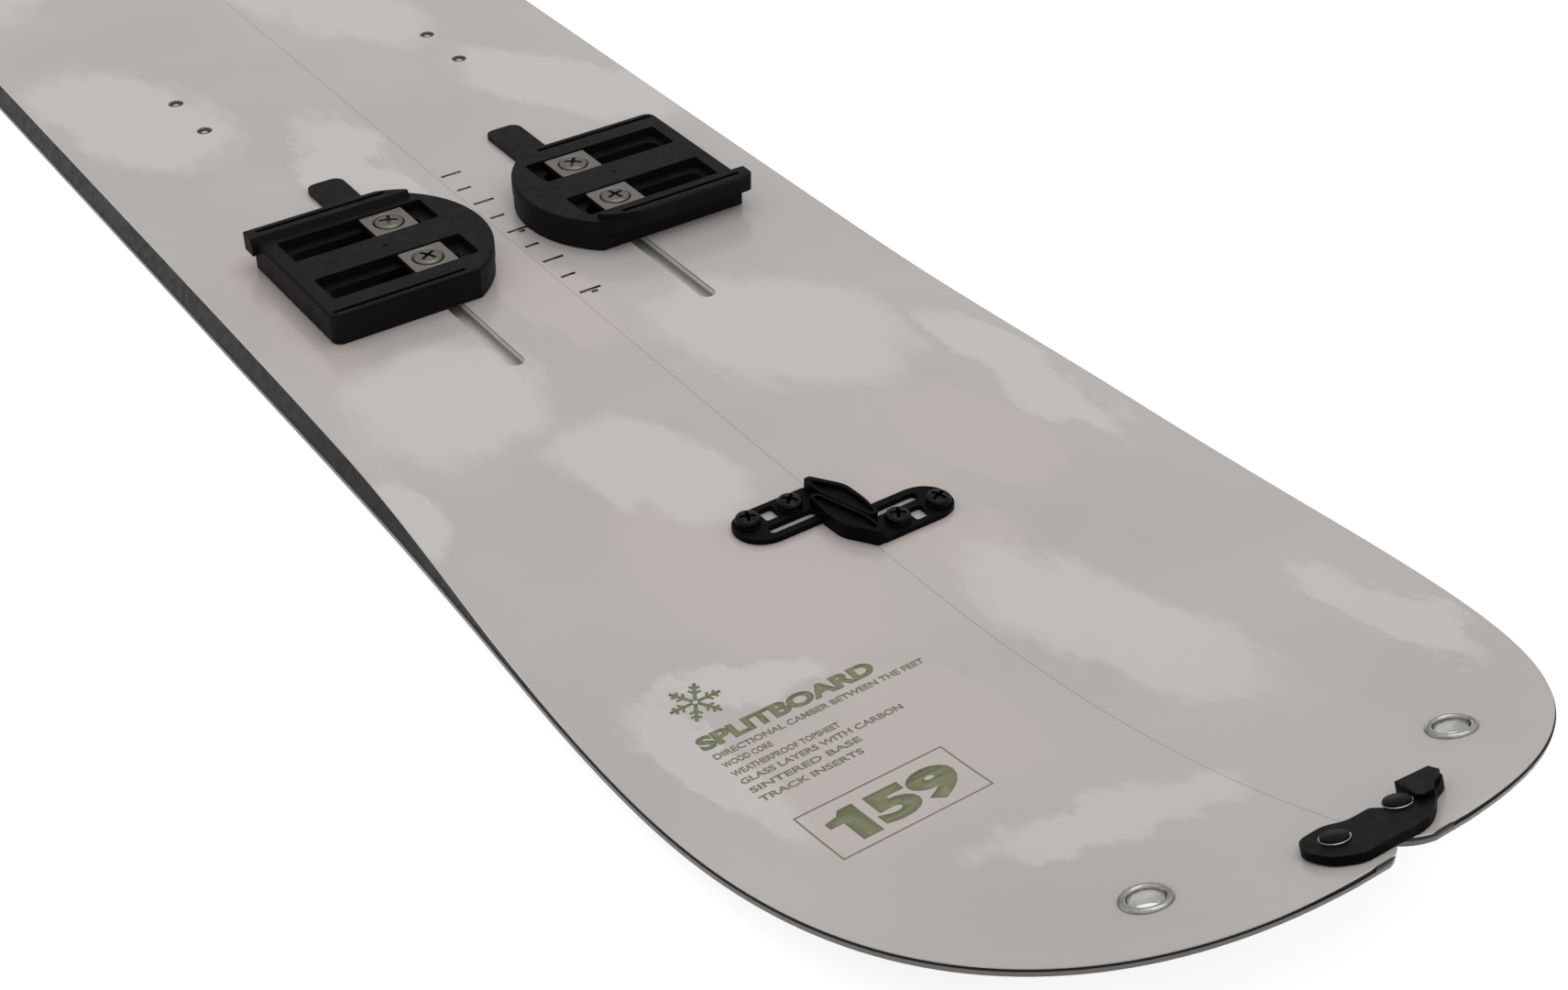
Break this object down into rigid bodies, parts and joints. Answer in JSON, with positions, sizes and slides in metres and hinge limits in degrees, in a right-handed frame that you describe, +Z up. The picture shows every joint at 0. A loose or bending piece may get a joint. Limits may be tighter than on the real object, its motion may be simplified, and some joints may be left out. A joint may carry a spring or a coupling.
{
  "type": "splitboard",
  "caption": "Wide snowboard sawn lengthwise into touring skis, joined by interlocking seam hooks and swinging tip clips, with sunk tracks that carry sliding binding pucks.",
  "frame": {"origin": "on the floor at the middle of the footprint, under the middle of the seam", "axes": "+X to the nose, +Y to the left edge (the half with the foot-position ticks), +Z up from the base"},
  "size_m": [1.59, 0.2764, 0.062],
  "materials": {
    "topsheet": "glossy warm grey with soft lighter clouds",
    "core": "raw laminated wood",
    "base": "waxed black sintered base",
    "sidewall": "satin black",
    "edge_steel": "ground steel",
    "track": "clear anodised",
    "puck": "moulded black plastic, satin",
    "hardware": "plated steel",
    "hook": "moulded black plastic, satin",
    "pin": "black with a bright rim",
    "eyelet": "bright plated"
  },
  "bodies": {
    "right_half": {"right_topsheet": "topsheet", "right_core": "core", "right_base_sheet": "base", "right_outer_sidewall": "sidewall", "right_seam_sidewall": "sidewall", "right_outer_steel_edge": "edge_steel", "right_seam_steel_edge": "edge_steel", "nose_right_track": "track", "nose_right_eyelet": "eyelet", "nose_right_hook": "hook", "nose_clip_pivot": "pin", "tail_right_track": "track", "tail_right_eyelet": "eyelet", "tail_right_hook": "hook", "tail_clip_pivot": "pin"},
    "left_half": {"left_topsheet": "topsheet", "left_core": "core", "left_base_sheet": "base", "left_outer_sidewall": "sidewall", "left_seam_sidewall": "sidewall", "left_outer_steel_edge": "edge_steel", "left_seam_steel_edge": "edge_steel", "nose_left_track": "track", "nose_left_eyelet": "eyelet", "nose_left_hook": "hook", "nose_catch_post": "pin", "tail_left_track": "track", "tail_left_eyelet": "eyelet", "tail_left_hook": "hook", "tail_catch_post": "pin"},
    "nose_left_puck_set": {"nose_left_puck": "puck", "nose_left_puck_plate": "puck", "nose_left_sliding_nut": "hardware", "nose_left_fore_washer": "hardware", "nose_left_fore_screw": "hardware", "nose_left_aft_washer": "hardware", "nose_left_aft_screw": "hardware"},
    "nose_right_puck_set": {"nose_right_puck": "puck", "nose_right_puck_plate": "puck", "nose_right_sliding_nut": "hardware", "nose_right_fore_washer": "hardware", "nose_right_fore_screw": "hardware", "nose_right_aft_washer": "hardware", "nose_right_aft_screw": "hardware"},
    "nose_clip": {"nose_clip": "hook"},
    "tail_left_puck_set": {"tail_left_puck": "puck", "tail_left_puck_plate": "puck", "tail_left_sliding_nut": "hardware", "tail_left_fore_washer": "hardware", "tail_left_fore_screw": "hardware", "tail_left_aft_washer": "hardware", "tail_left_aft_screw": "hardware"},
    "tail_right_puck_set": {"tail_right_puck": "puck", "tail_right_puck_plate": "puck", "tail_right_sliding_nut": "hardware", "tail_right_fore_washer": "hardware", "tail_right_fore_screw": "hardware", "tail_right_aft_washer": "hardware", "tail_right_aft_screw": "hardware"},
    "tail_clip": {"tail_clip": "hook"}
  },
  "joints": [
    {"name": "split", "type": "slide", "parent": "right_half", "child": "left_half", "axis": [0, 1, 0], "range_m": [0, 0.012]},
    {"name": "nose_clip_swing", "type": "hinge", "parent": "right_half", "child": "nose_clip", "pos_m": [0.7795, -0.0122, 0.0528], "axis": [0.4284, 0, -0.9036], "range_deg": [0, 121]},
    {"name": "tail_clip_swing", "type": "hinge", "parent": "right_half", "child": "tail_clip", "pos_m": [-0.7795, -0.0122, 0.0528], "axis": [0.4284, 0, 0.9036], "range_deg": [0, 121]},
    {"name": "nose_left_puck_slide", "type": "slide", "parent": "left_half", "child": "nose_left_puck_set", "axis": [1, 0, 0], "range_m": [-0.052, 0.06]},
    {"name": "nose_right_puck_slide", "type": "slide", "parent": "right_half", "child": "nose_right_puck_set", "axis": [1, 0, 0], "range_m": [-0.052, 0.06]},
    {"name": "tail_left_puck_slide", "type": "slide", "parent": "left_half", "child": "tail_left_puck_set", "axis": [1, 0, 0], "range_m": [-0.06, 0.052]},
    {"name": "tail_right_puck_slide", "type": "slide", "parent": "right_half", "child": "tail_right_puck_set", "axis": [1, 0, 0], "range_m": [-0.06, 0.052]}
  ],
  "couplings": [
    {"joint": "nose_clip_swing", "follows": "split", "rad_per_m": 174.53},
    {"joint": "tail_clip_swing", "follows": "split", "rad_per_m": 174.53}
  ]
}
